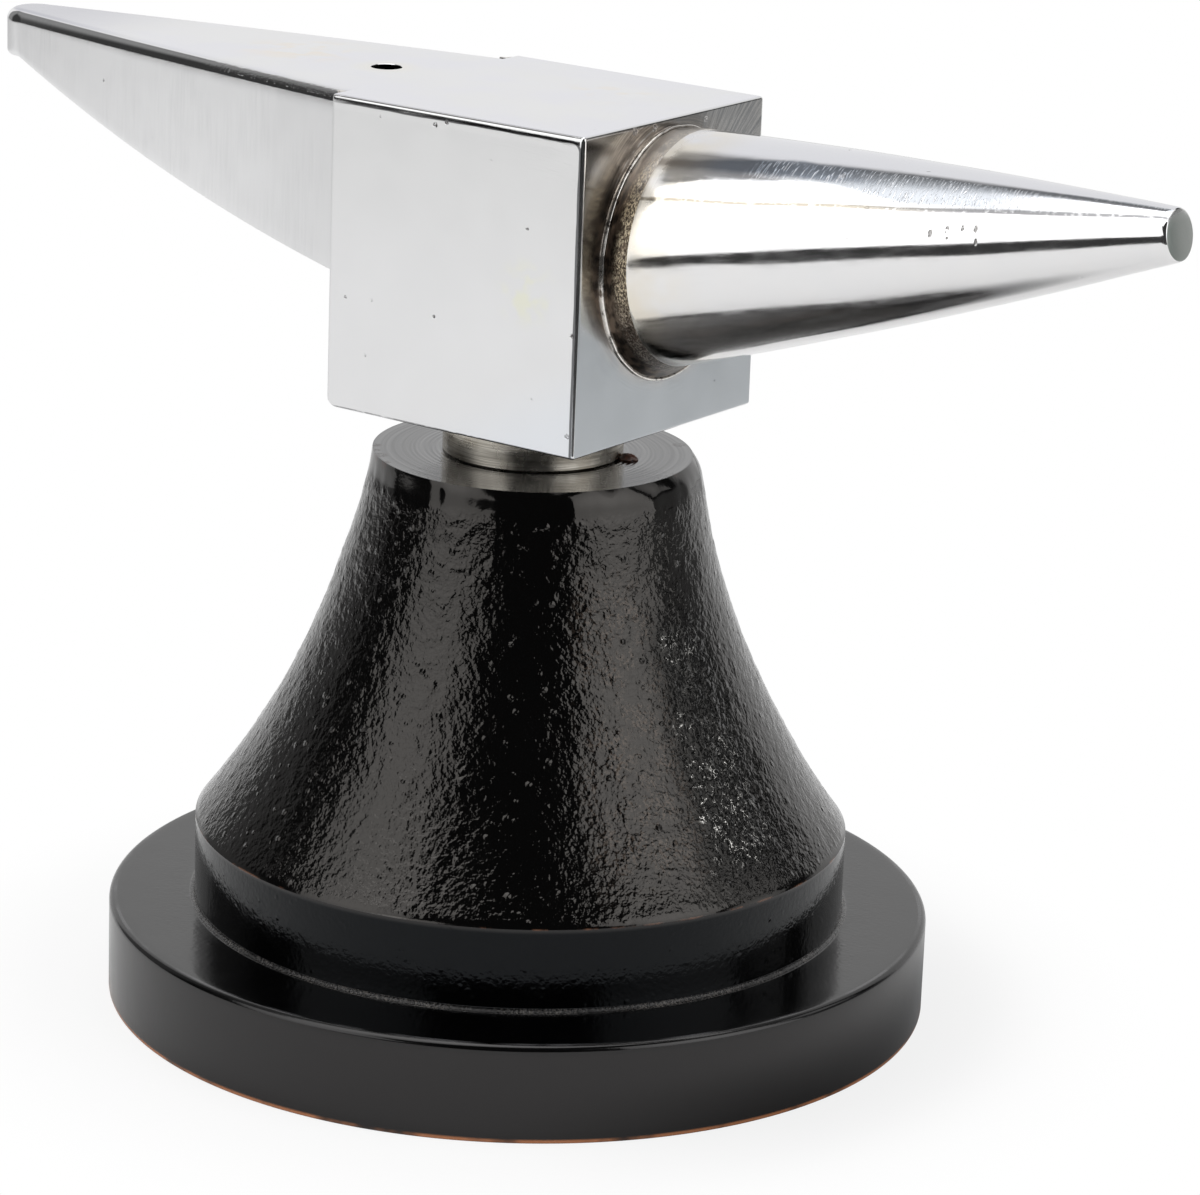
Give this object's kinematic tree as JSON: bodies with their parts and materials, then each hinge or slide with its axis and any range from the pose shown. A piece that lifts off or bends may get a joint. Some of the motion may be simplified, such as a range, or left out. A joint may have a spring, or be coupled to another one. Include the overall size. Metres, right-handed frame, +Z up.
{
  "type": "bench anvil on pedestal stand",
  "caption": "Small bench anvil with a square block, a tapered round horn and a tapered flat horn, swivelling on a bell-shaped cast-iron pedestal.",
  "frame": {"origin": "centre of the round foot's underside, on the swivel's axis", "axes": "+Z up along the swivel's axis, +X along the round horn at rest, -X along the flat horn, +Y completes the right-handed frame"},
  "size_m": [0.1351, 0.08, 0.0889],
  "materials": {
    "stand_enamel": "gloss black enamel over pebbled cast iron",
    "polished_steel": "polished and bright plated, fine grinding marks left in it",
    "weld_steel": "ground weld, plated, with a brown heat tint",
    "turned_steel": "bare, with turning marks",
    "zinc_steel": "zinc plated",
    "spring_steel": "dark oiled"
  },
  "bodies": {
    "stand": {"stand": "stand_enamel", "plain_washer": "zinc_steel"},
    "head": {"shank": "turned_steel", "anvil_block": "polished_steel", "round_horn": "polished_steel", "round_horn_weld": "weld_steel", "flat_horn": "polished_steel", "flat_horn_weld": "weld_steel", "retaining_screw": "zinc_steel", "spring_washer": "spring_steel"}
  },
  "joints": [
    {"name": "head_swivel", "type": "hinge", "parent": "stand", "child": "head", "pos_m": [0, 0, 0.0545], "axis": [0, 0, 1], "continuous": true}
  ]
}
